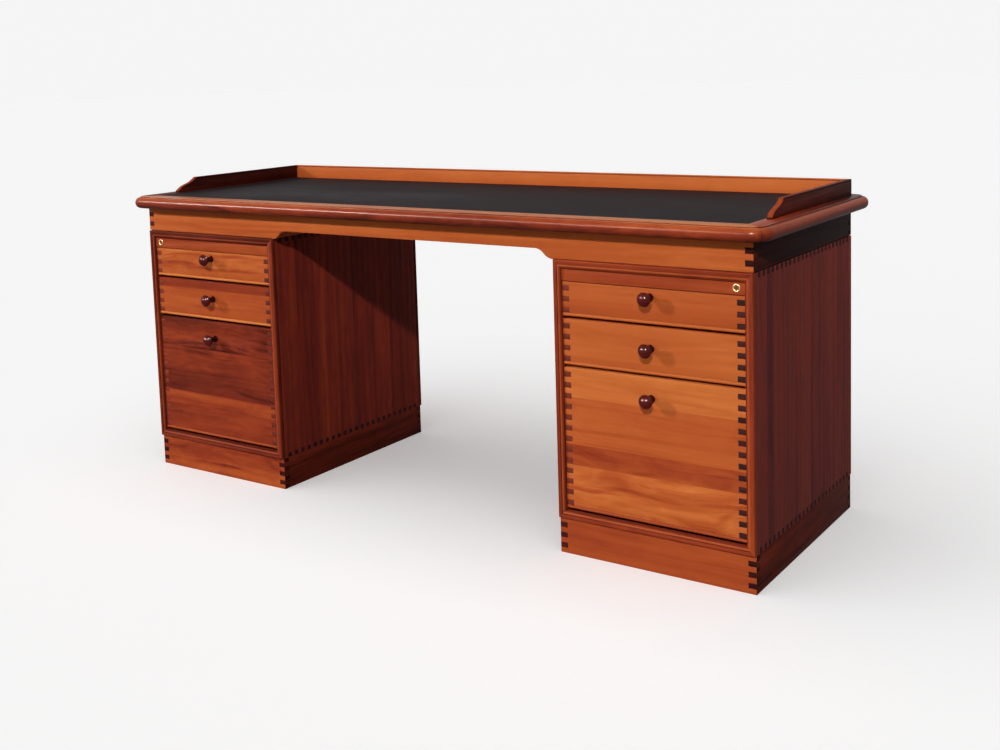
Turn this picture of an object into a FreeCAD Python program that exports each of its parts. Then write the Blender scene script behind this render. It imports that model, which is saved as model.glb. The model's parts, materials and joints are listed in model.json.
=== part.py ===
import FreeCAD, Part
import math
import operator
import os
from types import SimpleNamespace

import Sketcher

# Twin-pedestal writing desk, finger-jointed throughout. Millimetres, +Z up.
# X = 0 and Y = 0 are the middle of the desk, Z = 0 is the floor and the sitter is at -Y.
# The left pedestal is the mirror image of the right one.

SIZES = (
    # alias, millimetres or a count, what it measures
    ("frame_width", 1776, "desk frame over its side boards"),
    ("desk_depth", 600, "front moulding face to back moulding face"),
    ("pedestal_width", 465, "one pedestal over its side panels"),
    ("plinth_height", 82, "plinth box"),
    ("plinth_setback", 8, "plinth behind the moulding faces"),
    ("carcass_board", 18, "thickness of carcass, plinth and frame boards"),
    ("level_board", 12, "thickness of the carcass tops and bottoms"),
    ("finger", 12.1, "width of one finger of the joints"),
    ("moulding_width", 18, "mitred face moulding"),
    ("moulding_depth", 14, "mitred face moulding, front to back"),
    ("moulding_round", 3, "rounded outer edge of the moulding"),
    ("bead_start", 9.5, "outer edge of the moulding to its inner bead"),
    ("bead_width", 6, "inner bead of the moulding"),
    ("bead_round", 3.6, "radius of the inner bead"),
    ("bead_sink", 2.4, "quirk beside the inner bead"),
    ("fingers_top", 3, "side fingers through the top drawer front"),
    ("fingers_middle", 4, "side fingers through the middle drawer front"),
    ("fingers_bottom", 13, "side fingers through the bottom drawer front"),
    ("front_trim", 2.5, "planed off the upper edge of the two lower drawers"),
    ("top_front_trim", 4.6, "planed off the upper edge of the top drawer"),
    ("front_thickness", 20, "drawer front board"),
    ("front_inset", 7, "drawer fronts behind the moulding face"),
    ("lip_height", 8, "rounded lip strip under a drawer front"),
    ("lip_reach", 1, "lip strip in front of the drawer front"),
    ("drawer_gap", 6, "open gap under each lip strip"),
    ("lowest_gap", 6, "open gap under the lowest lip strip"),
    ("side_clearance", 2, "drawer to carcass side, each side"),
    ("drawer_side", 17, "drawer side board"),
    ("drawer_room", 71, "ends of the drawer sides to the back panel"),
    ("drawer_back", 14, "drawer back board"),
    ("back_drop", 14, "drawer back board below the side boards"),
    ("bottom_board", 6, "drawer bottom board"),
    ("bottom_raise", 8, "drawer bottom above the lower edge of the sides"),
    ("bottom_tongue", 5, "drawer bottom into the grooves of the sides"),
    ("runner_height", 12, "wooden runner"),
    ("runner_drop", 28, "runner groove below the upper edge of a drawer"),
    ("groove_depth", 8, "runner groove in a drawer side"),
    ("groove_front", 6, "drawer front board to the start of the groove"),
    ("slide_clearance", 0.3, "runner to its groove"),
    ("runner_back", 6, "runner to the back panel"),
    ("lock_rail_height", 28, "fixed rail above the top drawer"),
    ("rail_clearance", 2, "top drawer front below the lock rail"),
    ("back_panel", 10, "pedestal back panel"),
    ("apron_height", 64.5, "desk frame boards"),
    ("shadow_gap", 2, "open line between the desk frame and the pedestals"),
    ("shadow_depth", 3, "depth of the open line"),
    ("apron_setback", 4, "desk frame behind the moulding faces"),
    ("kneehole_rise", 22, "cut-out of the apron over the kneehole"),
    ("kneehole_curve", 48, "length of the S-curve at each end of the cut-out"),
    ("top_thickness", 31.5, "table top"),
    ("overhang_side", 40, "table top beyond the frame sides"),
    ("overhang_front", 34, "table top beyond the front moulding faces"),
    ("overhang_back", 41, "table top beyond the back moulding faces"),
    ("edge_width", 59, "mitred solid edge round the leather"),
    ("corner_radius", 48, "table top corners in plan"),
    ("quirk_land", 1.5, "level strip between the bullnose and the raised flat"),
    ("quirk_step", 2.5, "raised flat above the bullnose"),
    ("bullnose_flat", 2, "straight middle of the bullnose"),
    ("leather", 2, "thickness of the leather"),
    ("gallery_height", 38, "gallery boards above the table top"),
    ("gallery_board", 12, "thickness of the gallery boards"),
    ("gallery_start", 102, "front moulding face to the gallery ends"),
    ("ogee_reach", 68, "length of the ogee at the gallery ends"),
    ("ogee_foot", 4, "upright start of the ogee"),
    ("gallery_bead", 2.5, "bead along the upper edges of the gallery"),
    ("gallery_quirk", 1.8, "scratched line under the bead"),
    ("quirk_depth", 1.2, "depth of the scratched line"),
    ("knob_radius", 15.5, "turned head of a knob"),
    ("knob_reach", 43, "knob in front of its drawer"),
    ("knob_dome", 8.5, "rise of the domed face of a knob"),
    ("knob_rim", 3.5, "depth of the rim behind the dome"),
    ("rim_taper", 1, "rim drawn in towards the neck, all round"),
    ("knob_undercut", 5.5, "depth of the sloped underside of the head"),
    ("knob_neck", 6.5, "radius of the neck of a knob"),
    ("knob_foot", 9, "radius of the foot of a knob"),
    ("knob_flare", 9, "length of the flared foot of a knob"),
    ("spigot_radius", 5, "turned spigot glued in the drawer front"),
    ("spigot_length", 15, "turned spigot glued in the drawer front"),
    ("glue_gap", 0.05, "spigot to its bore"),
    ("knob_rise_top", 49, "top drawer's lower edge to its knob"),
    ("knob_rise_middle", 48, "middle drawer's lower edge to its knob"),
    ("knob_rise_bottom", 266, "bottom drawer's lower edge to its knob"),
    ("lock_inset", 38, "lock from the outer side of the pedestal"),
    ("lock_radius", 7.5, "lock cylinder housing"),
    ("lock_flange", 8.5, "radius of the housing's visible ring"),
    ("flange_depth", 1.5, "the ring in front of the lock rail"),
    ("plug_radius", 5, "turning plug of the lock"),
    ("pivot_clearance", 0.15, "plug in its housing and rod in its bearing, all round"),
    ("key_slot_width", 1.6, "key slot in the plug"),
    ("key_slot_height", 6, "key slot in the plug"),
    ("key_slot_depth", 4, "key slot in the plug"),
    ("rod_radius", 3, "rod from the plug to the lock bar"),
    ("crank_radius", 6, "rod axis to crank pin axis"),
    ("crank_disc", 9, "radius of the crank disc"),
    ("crank_pin", 2, "radius of the crank pin"),
    ("pin_play", 0.5, "crank pin to its slot"),
    ("steel", 4, "thickness of the lock bar, its hooks and the crank disc"),
    ("bar_width", 24, "lock bar"),
    ("bar_front", 40, "backs of the drawers to the lock bar"),
    ("hook_width", 14, "hooks of the lock bar"),
    ("hook_side_gap", 3, "hooks beside a drawer side"),
    ("hook_lip", 9, "drop of a hook behind its arm"),
    ("hook_play", 3, "hook lip in front of a drawer back, shut"),
    ("hook_lift", 1, "hook lip above a drawer back, unlocked"),
    ("guide_margin", 6, "guide blocks round the lock bar"),
    ("guide_height", 14, "guide blocks"),
)


class Dim:
    """A size worked out from the sheet: the expression that FreeCAD keeps, and its value now."""

    def __init__(self, text, value):
        self.text = text
        self.value = value

    def __add__(self, other):
        return combine(self, "+", other, operator.add)

    def __radd__(self, other):
        return combine(other, "+", self, operator.add)

    def __sub__(self, other):
        return combine(self, "-", other, operator.sub)

    def __mul__(self, other):
        return combine(self, "*", other, operator.mul)

    def __rmul__(self, other):
        return combine(other, "*", self, operator.mul)

    def __truediv__(self, other):
        return combine(self, "/", other, operator.truediv)

    def __neg__(self):
        return combine(-1, "*", self, operator.mul)


def dim(size):
    return size if isinstance(size, Dim) else Dim("%.8g" % size, size)


def combine(first, sign, second, work):
    first = dim(first)
    second = dim(second)
    return Dim("(%s %s %s)" % (first.text, sign, second.text), work(first.value, second.value))


def root(size):
    return Dim("sqrt(%s)" % size.text, math.sqrt(size.value))


def pairs_of_fingers(length):
    """How many notches fit a joint of this length that starts and ends with a finger."""
    ratio = (length / S.finger - 1) / 2
    return Dim("floor(%s + 0.5)" % ratio.text, math.floor(ratio.value + 0.5))


doc = FreeCAD.newDocument("Desk")
sheet = doc.addObject("Spreadsheet::Sheet", "Sizes")
for row, (alias, size, note) in enumerate(SIZES, start=1):
    sheet.set("A%d" % row, note)
    sheet.set("B%d" % row, str(size))
    sheet.setAlias("B%d" % row, alias)
doc.recompute()
S = SimpleNamespace(**{alias: Dim("Sizes." + alias, size) for alias, size, note in SIZES})

nodes = []


# ---------------------------------------------------------------- modelling helpers

def node(obj):
    """Marks a finished sub-part that gets its own STEP file."""
    nodes.append(obj)
    return obj


def bind(obj, name, size):
    obj.setExpression(name, dim(size).text)


def place(obj, corner):
    for axis, size in zip("xyz", corner):
        bind(obj, "Placement.Base." + axis, size)


def new_body(label):
    body = doc.addObject("PartDesign::Body", label)
    body.Label = label
    return body


def origin_feature(body, role):
    return next(feature for feature in body.Origin.OriginFeatures if feature.Role == role)


def sketch_on(body, role, outlines, lift=0):
    """Closed outlines on an origin plane of the body.

    An outline is a list of corners (across, up) or (across, up, radius). A radius makes the edge
    that leaves the corner an arc: it bulges to the right of the direction of travel, or to the
    left if the radius is given as ("left", radius).
    """
    sketch = body.newObject("Sketcher::SketchObject", "Outline")
    sketch.AttachmentSupport = (origin_feature(body, role), [""])
    sketch.MapMode = "FlatFace"
    bind(sketch, "AttachmentOffset.Base.z", lift)
    for outline in outlines:
        draw(sketch, outline)
    return sketch


def draw(sketch, outline):
    first = sketch.GeometryCount
    count = len(outline)
    ends = []
    for index, corner in enumerate(outline):
        start = corner_point(corner)
        end = corner_point(outline[(index + 1) % count])
        if len(corner) == 2:
            sketch.addGeometry(Part.LineSegment(start, end), False)
            ends.append((1, 2))
        else:
            ends.append(draw_arc(sketch, start, end, corner[2]))
    for index in range(count):
        here = first + index
        after = first + (index + 1) % count
        sketch.addConstraint(Sketcher.Constraint(
            "Coincident", here, ends[index][1], after, ends[after - first][0]))
    for index, corner in enumerate(outline):
        for kind, size in zip(("DistanceX", "DistanceY"), corner[:2]):
            drive(sketch, kind, (first + index, ends[index][0]), size)


def corner_point(corner):
    return FreeCAD.Vector(dim(corner[0]).value, dim(corner[1]).value, 0)


def draw_arc(sketch, start, end, bulge):
    """Adds an arc and says which of its ends, 1 or 2, is at start and which at end."""
    side = 1
    if isinstance(bulge, tuple):
        side = -1
        bulge = bulge[1]
    radius = dim(bulge)
    chord = end - start
    offset = math.sqrt(max(radius.value ** 2 - chord.Length ** 2 / 4, 0))
    leftward = FreeCAD.Vector(-chord.y, chord.x, 0).normalize()
    centre = (start + end) * 0.5 + leftward * (offset * side)
    circle = Part.Circle(centre, FreeCAD.Vector(0, 0, 1), radius.value)
    angles = [math.atan2(point.y - centre.y, point.x - centre.x) for point in (start, end)]
    ends = (1, 2) if side > 0 else (2, 1)
    if side < 0:
        angles.reverse()
    if angles[1] < angles[0]:
        angles[1] += 2 * math.pi
    arc = sketch.addGeometry(Part.ArcOfCircle(circle, angles[0], angles[1]), False)
    drive(sketch, "Radius", (arc,), radius)
    return ends


def drive(sketch, kind, geometry, size):
    """Adds a dimension to the sketch and ties it to the sheet."""
    size = dim(size)
    constraint = sketch.addConstraint(Sketcher.Constraint(kind, *geometry, size.value))
    sketch.setExpression("Constraints[%d]" % constraint, size.text)


def rectangle(across, up, width, height):
    return [(across, up), (across + width, up), (across + width, up + height), (across, up + height)]


def pad(body, sketch, length):
    """Grows the outline along +X, +Y or +Z."""
    feature = body.newObject("PartDesign::Pad", "Pad")
    feature.Profile = sketch
    feature.Reversed = sketch.AttachmentSupport[0][0].Role == "XZ_Plane"
    bind(feature, "Length", length)
    return feature


def pocket(body, sketch, depth):
    """Cuts the outline along +X, +Y or +Z from its plane."""
    feature = body.newObject("PartDesign::Pocket", "Pocket")
    feature.Profile = sketch
    feature.Reversed = sketch.AttachmentSupport[0][0].Role != "XZ_Plane"
    bind(feature, "Length", depth)
    return feature


def pocket_through(body, sketch):
    feature = body.newObject("PartDesign::Pocket", "Cut")
    feature.Profile = sketch
    feature.Type = "ThroughAll"
    feature.Midplane = True
    return feature


def repeat(body, feature, axis, step, count):
    pattern = body.newObject("PartDesign::LinearPattern", "Pattern")
    pattern.Originals = [feature]
    pattern.Direction = (origin_feature(body, axis), [""])
    bind(pattern, "Length", step * (count - 1))
    bind(pattern, "Occurrences", count)
    body.Tip = pattern


def board(label, corner, extent):
    body = new_body(label)
    sketch = sketch_on(body, "XY_Plane", [rectangle(0, 0, extent[0], extent[1])])
    pad(body, sketch, extent[2])
    place(body, corner)
    return body


def notch_ends(body, role, notches, axis, finger, count):
    """Cuts finger notches, given by their first outlines, and repeats them two fingers apart."""
    repeat(body, pocket_through(body, sketch_on(body, role, notches)), axis, finger * 2, count)


def group(label, members, corner=(0, 0, 0)):
    """Pieces that stay separate solids in one file."""
    compound = doc.addObject("Part::Compound", label)
    compound.Label = label
    compound.Links = members
    place(compound, corner)
    return compound


def mirrored(label, source, normal=(1, 0, 0), base=(0, 0, 0)):
    mirror = doc.addObject("Part::Mirroring", label)
    mirror.Label = label
    mirror.Source = source
    mirror.Normal = FreeCAD.Vector(*normal)
    for axis, size in zip("xyz", base):
        bind(mirror, "Base." + axis, size)
    return mirror


def cylinder(label, radius, start, length):
    """Cylinder along +Y from its start point."""
    rod = doc.addObject("Part::Cylinder", label)
    bind(rod, "Radius", radius)
    bind(rod, "Height", length)
    rod.Placement.Rotation = FreeCAD.Rotation(FreeCAD.Vector(1, 0, 0), -90)
    place(rod, start)
    return rod


def block(label, corner, extent):
    box = doc.addObject("Part::Box", label)
    for name, size in zip(("Length", "Width", "Height"), extent):
        bind(box, name, size)
    place(box, corner)
    return box


def fused(label, shapes):
    union = doc.addObject("Part::MultiFuse", label)
    union.Label = label
    union.Shapes = shapes
    return union


def cut(label, base, tool):
    difference = doc.addObject("Part::Cut", label)
    difference.Label = label
    difference.Base = base
    difference.Tool = tool
    return difference


# ---------------------------------------------------------------- levels and places

front_heights = {
    "bottom": S.finger * 2 * S.fingers_bottom - S.front_trim,
    "middle": S.finger * 2 * S.fingers_middle - S.front_trim,
    "top": S.finger * 2 * S.fingers_top - S.top_front_trim,
}
finger_counts = {"bottom": S.fingers_bottom, "middle": S.fingers_middle, "top": S.fingers_top}
knob_rises = {"bottom": S.knob_rise_bottom, "middle": S.knob_rise_middle, "top": S.knob_rise_top}

# lower edges of the drawer fronts, counted up from the floor
front_levels = {"bottom": S.plinth_height + S.moulding_width + S.lowest_gap + S.lip_height}
front_levels["middle"] = front_levels["bottom"] + front_heights["bottom"] + S.drawer_gap + S.lip_height
front_levels["top"] = front_levels["middle"] + front_heights["middle"] + S.drawer_gap + S.lip_height

rail_level = front_levels["top"] + front_heights["top"] + S.rail_clearance
pedestal_top = rail_level + S.lock_rail_height + S.moulding_width
carcass_height = pedestal_top - S.plinth_height
table_level = pedestal_top + S.apron_height + S.top_thickness

outer_side = S.frame_width / 2
inner_side = outer_side - S.pedestal_width
opening_width = S.pedestal_width - 2 * S.carcass_board
carcass_depth = S.desk_depth - 2 * S.moulding_depth
drawer_width = opening_width - 2 * S.side_clearance
drawer_left = inner_side + S.carcass_board + S.side_clearance

# front faces of the mouldings and of the drawers, and the planes behind the drawers
front_face = -S.desk_depth / 2
drawer_face = front_face + S.front_inset
panel_front = -front_face - S.moulding_depth - S.back_panel
drawers_back = panel_front - S.drawer_room
drawer_length = drawers_back - drawer_face


# ---------------------------------------------------------------- table top

top_width = S.frame_width + 2 * S.overhang_side
top_depth = S.desk_depth + S.overhang_front + S.overhang_back
top_underside = table_level - S.top_thickness


def edge_outline(length, inset):
    """Plan of a mitred edge, outer side at the bottom, with half of each rounded corner."""
    radius = S.corner_radius - inset
    half_corner = S.corner_radius - radius * math.sqrt(0.5)
    return [
        (half_corner, half_corner, radius),
        (S.corner_radius, inset),
        (length - S.corner_radius, inset, radius),
        (length - half_corner, half_corner),
        (length - S.edge_width, S.edge_width),
        (S.edge_width, S.edge_width),
    ]


def top_edge(label, length, start, turn):
    """Solid edge with a bullnose outside and a flat raised by a small step."""
    body = new_body(label)
    nose_height = S.top_thickness - S.quirk_step
    nose_radius = (nose_height - S.bullnose_flat) / 2
    nose = pad(body, sketch_on(body, "XY_Plane", [edge_outline(length, 0)]), nose_height)
    doc.recompute()
    bullnose = body.newObject("PartDesign::Fillet", "Bullnose")
    bullnose.Base = (nose, outer_edges(nose.Shape))
    bind(bullnose, "Radius", nose_radius)
    body.Tip = bullnose
    flat = edge_outline(length, nose_radius + S.quirk_land)
    pad(body, sketch_on(body, "XY_Plane", [flat], lift=nose_height), S.quirk_step)
    body.Placement.Rotation = FreeCAD.Rotation(FreeCAD.Vector(0, 0, 1), turn)
    place(body, start)
    return body


def outer_edges(shape):
    """Names of the level edges along the outer side, rounded corners included."""
    names = []
    for index, edge in enumerate(shape.Edges, start=1):
        middle = edge.valueAt((edge.FirstParameter + edge.LastParameter) / 2)
        if edge.BoundBox.ZLength < 0.01 and middle.y < S.corner_radius.value / 4:
            names.append("Edge%d" % index)
    return names


top_right = outer_side + S.overhang_side
front_nose = front_face - S.overhang_front
back_nose = -front_face + S.overhang_back
node(top_edge("top_edge_front", top_width, (-top_right, front_nose, top_underside), 0))
node(top_edge("top_edge_back", top_width, (top_right, back_nose, top_underside), 180))
right_edge = node(top_edge("top_edge_right", top_depth, (top_right, front_nose, top_underside), 90))
node(mirrored("top_edge_left", right_edge))

core_corner = (S.edge_width - top_right, front_nose + S.edge_width)
core_extent = (top_width - 2 * S.edge_width, top_depth - 2 * S.edge_width)
node(board("top_core", (*core_corner, top_underside), (*core_extent, S.top_thickness - S.leather)))
node(board("leather_inlay", (*core_corner, table_level - S.leather), (*core_extent, S.leather)))


# ---------------------------------------------------------------- gallery

quirk_level = S.gallery_height - S.gallery_bead - S.gallery_quirk


def gallery_side():
    """Side board with an ogee front end, mitred to the back board."""
    body = new_body("gallery_right")
    length = S.desk_depth - S.gallery_start
    rise = S.gallery_height - S.ogee_foot
    curve = root(S.ogee_reach * S.ogee_reach + rise * rise)
    outline = [
        (0, 0),
        (length, 0),
        (length, S.gallery_height),
        (S.ogee_reach, S.gallery_height, ("left", curve)),
        (S.ogee_reach / 2, S.ogee_foot + rise / 2, curve),
        (0, S.ogee_foot),
    ]
    pad(body, sketch_on(body, "YZ_Plane", [outline]), S.gallery_board)
    mitre = [(0, length - S.gallery_board), (S.gallery_board, length), (0, length)]
    pocket_through(body, sketch_on(body, "XY_Plane", [mitre]))
    quirk = [rectangle(0, quirk_level, length, S.gallery_quirk)]
    pocket(body, sketch_on(body, "YZ_Plane", quirk), S.quirk_depth)
    pocket(body, sketch_on(body, "YZ_Plane", quirk, S.gallery_board - S.quirk_depth), S.quirk_depth)
    place(body, (outer_side - S.gallery_board, front_face + S.gallery_start, table_level))
    return body


def gallery_back():
    body = new_body("gallery_back")
    plan = [
        (S.gallery_board, 0),
        (S.frame_width - S.gallery_board, 0),
        (S.frame_width, S.gallery_board),
        (0, S.gallery_board),
    ]
    pad(body, sketch_on(body, "XY_Plane", [plan]), S.gallery_height)
    quirk = [rectangle(0, quirk_level, S.frame_width, S.gallery_quirk)]
    pocket(body, sketch_on(body, "XZ_Plane", quirk), S.quirk_depth)
    place(body, (-outer_side, -front_face - S.gallery_board, table_level))
    return body


node(gallery_back())
node(mirrored("gallery_left", node(gallery_side())))


# ---------------------------------------------------------------- desk frame

frame_notches = pairs_of_fingers(S.apron_height)
frame_finger = S.apron_height / (2 * frame_notches + 1)


def apron():
    """Long frame board with the S-ended kneehole cut-out and notches for the side boards."""
    body = new_body("apron_front")
    middle = S.frame_width / 2
    half_gap = inner_side
    half_rise = S.kneehole_rise / 2
    half_run = S.kneehole_curve / 2
    bend = (half_run * half_run + half_rise * half_rise) / (2 * half_rise)
    outline = [
        (0, 0),
        (middle - half_gap, 0, bend),
        (middle - half_gap + half_run, half_rise, ("left", bend)),
        (middle - half_gap + S.kneehole_curve, S.kneehole_rise),
        (middle + half_gap - S.kneehole_curve, S.kneehole_rise, ("left", bend)),
        (middle + half_gap - half_run, half_rise, bend),
        (middle + half_gap, 0),
        (S.frame_width, 0),
        (S.frame_width, S.apron_height),
        (0, S.apron_height),
    ]
    pad(body, sketch_on(body, "XZ_Plane", [outline]), S.carcass_board)
    notches = [
        rectangle(0, frame_finger, S.carcass_board, frame_finger),
        rectangle(S.frame_width - S.carcass_board, frame_finger, S.carcass_board, frame_finger),
    ]
    notch_ends(body, "XZ_Plane", notches, "Z_Axis", frame_finger, frame_notches)
    lines = [
        rectangle(0, 0, S.pedestal_width, S.shadow_gap),
        rectangle(S.frame_width - S.pedestal_width, 0, S.pedestal_width, S.shadow_gap),
    ]
    pocket(body, sketch_on(body, "XZ_Plane", lines), S.shadow_depth)
    end = [rectangle(0, 0, S.carcass_board, S.shadow_gap)]
    for lift in (0, S.frame_width - S.shadow_depth):
        pocket(body, sketch_on(body, "YZ_Plane", end, lift), S.shadow_depth)
    place(body, (-outer_side, front_face + S.apron_setback, pedestal_top))
    return body


def frame_side():
    length = S.desk_depth - 2 * S.apron_setback
    corner = (outer_side - S.carcass_board, front_face + S.apron_setback, pedestal_top)
    body = board("frame_side_right", corner, (S.carcass_board, length, S.apron_height))
    notches = [
        rectangle(0, 0, S.carcass_board, frame_finger),
        rectangle(length - S.carcass_board, 0, S.carcass_board, frame_finger),
    ]
    notch_ends(body, "YZ_Plane", notches, "Z_Axis", frame_finger, frame_notches + 1)
    line = [rectangle(0, 0, length, S.shadow_gap)]
    pocket(body, sketch_on(body, "YZ_Plane", line, S.carcass_board - S.shadow_depth), S.shadow_depth)
    return body


def cross_rail():
    """Rail inside the frame, standing on the inner side panel of the pedestal."""
    start = front_face + S.apron_setback + S.carcass_board
    return board("cross_rail_right", (inner_side, start, pedestal_top),
                 (S.carcass_board, -2 * start, S.apron_height))


front_apron = node(apron())
node(mirrored("apron_back", front_apron, (0, 1, 0)))
node(mirrored("frame_side_left", node(frame_side())))
rail = cross_rail()
node(group("cross_rails", [rail, mirrored("cross_rail_left", rail)]))


# ---------------------------------------------------------------- pedestal carcass and plinth

carcass_notches = pairs_of_fingers(carcass_depth)
carcass_finger = carcass_depth / (2 * carcass_notches + 1)
plinth_notches = pairs_of_fingers(S.plinth_height)
plinth_finger = S.plinth_height / (2 * plinth_notches + 1)


def side_panel(label, left):
    body = board(label, (left, front_face + S.moulding_depth, S.plinth_height),
                 (S.carcass_board, carcass_depth, carcass_height))
    notches = [
        rectangle(carcass_finger, 0, carcass_finger, S.level_board),
        rectangle(carcass_finger, carcass_height - S.level_board, carcass_finger, S.level_board),
    ]
    notch_ends(body, "YZ_Plane", notches, "Y_Axis", carcass_finger, carcass_notches)
    return body


def level_board(label, level):
    """Top or bottom of the carcass, whose fingers show on the outside of the side panels."""
    body = board(label, (inner_side, front_face + S.moulding_depth, level),
                 (S.pedestal_width, carcass_depth, S.level_board))
    notches = [
        rectangle(0, 0, S.carcass_board, carcass_finger),
        rectangle(S.pedestal_width - S.carcass_board, 0, S.carcass_board, carcass_finger),
    ]
    notch_ends(body, "XY_Plane", notches, "Y_Axis", carcass_finger, carcass_notches + 1)
    return body


def back_panel():
    corner = (inner_side + S.carcass_board, panel_front, S.plinth_height + S.level_board)
    return board("right_back_panel", corner,
                 (opening_width, S.back_panel, carcass_height - 2 * S.level_board))


def moulding(label, length, start, turn):
    """One mitred length: rounded outer edge, quirk and bead. Outer edge down, face to -Y."""
    body = new_body(label)
    bead_end = S.bead_start + S.bead_width
    profile = [
        (S.moulding_depth, 0),
        (S.moulding_depth, S.moulding_width),
        (S.bead_sink, S.moulding_width),
        (S.bead_sink, bead_end, S.bead_round),
        (S.bead_sink, S.bead_start),
        (0, S.bead_start),
        (0, S.moulding_round, S.moulding_round),
        (S.moulding_round, 0),
    ]
    pad(body, sketch_on(body, "YZ_Plane", [profile]), length)
    width = S.moulding_width
    mitres = [
        [(0, 0), (width, width), (0, width)],
        [(length, 0), (length, width), (length - width, width)],
    ]
    pocket_through(body, sketch_on(body, "XZ_Plane", mitres))
    body.Placement.Rotation = FreeCAD.Rotation(FreeCAD.Vector(0, 1, 0), turn)
    place(body, start)
    return body


def front_frame():
    return group("right_front_frame", [
        moulding("right_frame_bottom", S.pedestal_width, (inner_side, front_face, S.plinth_height), 0),
        moulding("right_frame_outer", carcass_height, (outer_side, front_face, S.plinth_height), -90),
        moulding("right_frame_top", S.pedestal_width, (outer_side, front_face, pedestal_top), 180),
        moulding("right_frame_inner", carcass_height, (inner_side, front_face, pedestal_top), 90),
    ])


def plinth():
    """Finger-jointed plinth box."""
    plinth_face = front_face + S.plinth_setback
    front = board("right_plinth_front", (inner_side, plinth_face, 0),
                  (S.pedestal_width, S.carcass_board, S.plinth_height))
    front_notches = [
        rectangle(0, plinth_finger, S.carcass_board, plinth_finger),
        rectangle(S.pedestal_width - S.carcass_board, plinth_finger, S.carcass_board, plinth_finger),
    ]
    notch_ends(front, "XZ_Plane", front_notches, "Z_Axis", plinth_finger, plinth_notches)
    length = -2 * plinth_face
    side = board("right_plinth_outer", (outer_side - S.carcass_board, plinth_face, 0),
                 (S.carcass_board, length, S.plinth_height))
    side_notches = [
        rectangle(0, 0, S.carcass_board, plinth_finger),
        rectangle(length - S.carcass_board, 0, S.carcass_board, plinth_finger),
    ]
    notch_ends(side, "YZ_Plane", side_notches, "Z_Axis", plinth_finger, plinth_notches + 1)
    middle = inner_side + S.pedestal_width / 2
    back = mirrored("right_plinth_back", front, (0, 1, 0))
    inner = mirrored("right_plinth_inner", side, (1, 0, 0), (middle, 0, 0))
    return group("right_plinth", [front, back, side, inner])


# ---------------------------------------------------------------- drawers

def drawer_front(name):
    """Front board with notches for the side boards, and the rounded lip strip glued under it."""
    height = front_heights[name]
    face = board("right_%s_board" % name, (0, 0, 0), (drawer_width, S.front_thickness, height))
    notches = [
        rectangle(0, 0, S.drawer_side, S.finger),
        rectangle(drawer_width - S.drawer_side, 0, S.drawer_side, S.finger),
    ]
    notch_ends(face, "XZ_Plane", notches, "Z_Axis", S.finger, finger_counts[name])
    bore = cylinder("right_%s_bore" % name, S.spigot_radius + S.glue_gap,
                    (drawer_width / 2, 0, knob_rises[name]), S.spigot_length + S.glue_gap)
    lip = new_body("right_%s_lip" % name)
    nose = S.lip_height / 2
    profile = [
        (S.front_thickness + S.lip_reach, 0),
        (S.front_thickness + S.lip_reach, S.lip_height),
        (nose, S.lip_height, nose),
        (0, nose, nose),
        (nose, 0),
    ]
    pad(lip, sketch_on(lip, "YZ_Plane", [profile]), drawer_width)
    place(lip, (0, -S.lip_reach, -S.lip_height))
    return group("right_%s_drawer_front" % name, [cut("right_%s_face" % name, face, bore), lip],
                 (drawer_left, drawer_face, front_levels[name]))


def drawer_box(name):
    """Two sides with finger notches and grooves, the back board and the bottom."""
    height = front_heights[name]
    side = board("right_%s_side" % name, (0, 0, 0), (S.drawer_side, drawer_length, height))
    notch_ends(side, "YZ_Plane", [rectangle(0, S.finger, S.front_thickness, S.finger)],
               "Z_Axis", S.finger, finger_counts[name])
    groove_height = S.runner_height + 2 * S.slide_clearance
    groove_start = S.front_thickness + S.groove_front
    runner_groove = rectangle(groove_start, height - S.runner_drop - groove_height,
                              drawer_length - groove_start, groove_height)
    pocket(side, sketch_on(side, "YZ_Plane", [runner_groove]), S.groove_depth)
    bottom_groove = rectangle(S.front_thickness, S.bottom_raise,
                              drawer_length - S.front_thickness, S.bottom_board)
    pocket(side, sketch_on(side, "YZ_Plane", [bottom_groove], S.drawer_side - S.bottom_tongue),
           S.bottom_tongue)
    other = mirrored("right_%s_other_side" % name, side, (1, 0, 0), (drawer_width / 2, 0, 0))
    floor_top = S.bottom_raise + S.bottom_board
    back = board("right_%s_back" % name, (S.drawer_side, drawer_length - S.drawer_back, floor_top),
                 (drawer_width - 2 * S.drawer_side, S.drawer_back, height - S.back_drop - floor_top))
    tongue = S.drawer_side - S.bottom_tongue
    bottom = board("right_%s_floor" % name, (tongue, S.front_thickness, S.bottom_raise),
                   (drawer_width - 2 * tongue, drawer_length - S.front_thickness, S.bottom_board))
    return group("right_%s_drawer_box" % name, [side, other, back, bottom],
                 (drawer_left, drawer_face, front_levels[name]))


def knob(name):
    """Turned knob: domed head, neck, flared foot and the spigot that is glued in the front."""
    body = new_body("right_%s_knob" % name)
    head_front = S.knob_dome - S.knob_reach
    head_back = head_front + S.knob_rim
    dome = (S.knob_radius * S.knob_radius + S.knob_dome * S.knob_dome) / (2 * S.knob_dome)
    profile = [
        (0, -S.knob_reach, dome),
        (S.knob_radius, head_front),
        (S.knob_radius - S.rim_taper, head_back),
        (S.knob_neck, head_back + S.knob_undercut),
        (S.knob_neck, -S.knob_flare),
        (S.knob_foot, 0),
        (S.spigot_radius, 0),
        (S.spigot_radius, S.spigot_length),
        (0, S.spigot_length),
    ]
    sketch = sketch_on(body, "XY_Plane", [profile])
    turned = body.newObject("PartDesign::Revolution", "Turned")
    turned.Profile = sketch
    turned.ReferenceAxis = (origin_feature(body, "Y_Axis"), [""])
    turned.Angle = 360
    place(body, (drawer_left + drawer_width / 2, drawer_face, front_levels[name] + knob_rises[name]))
    return body


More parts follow.
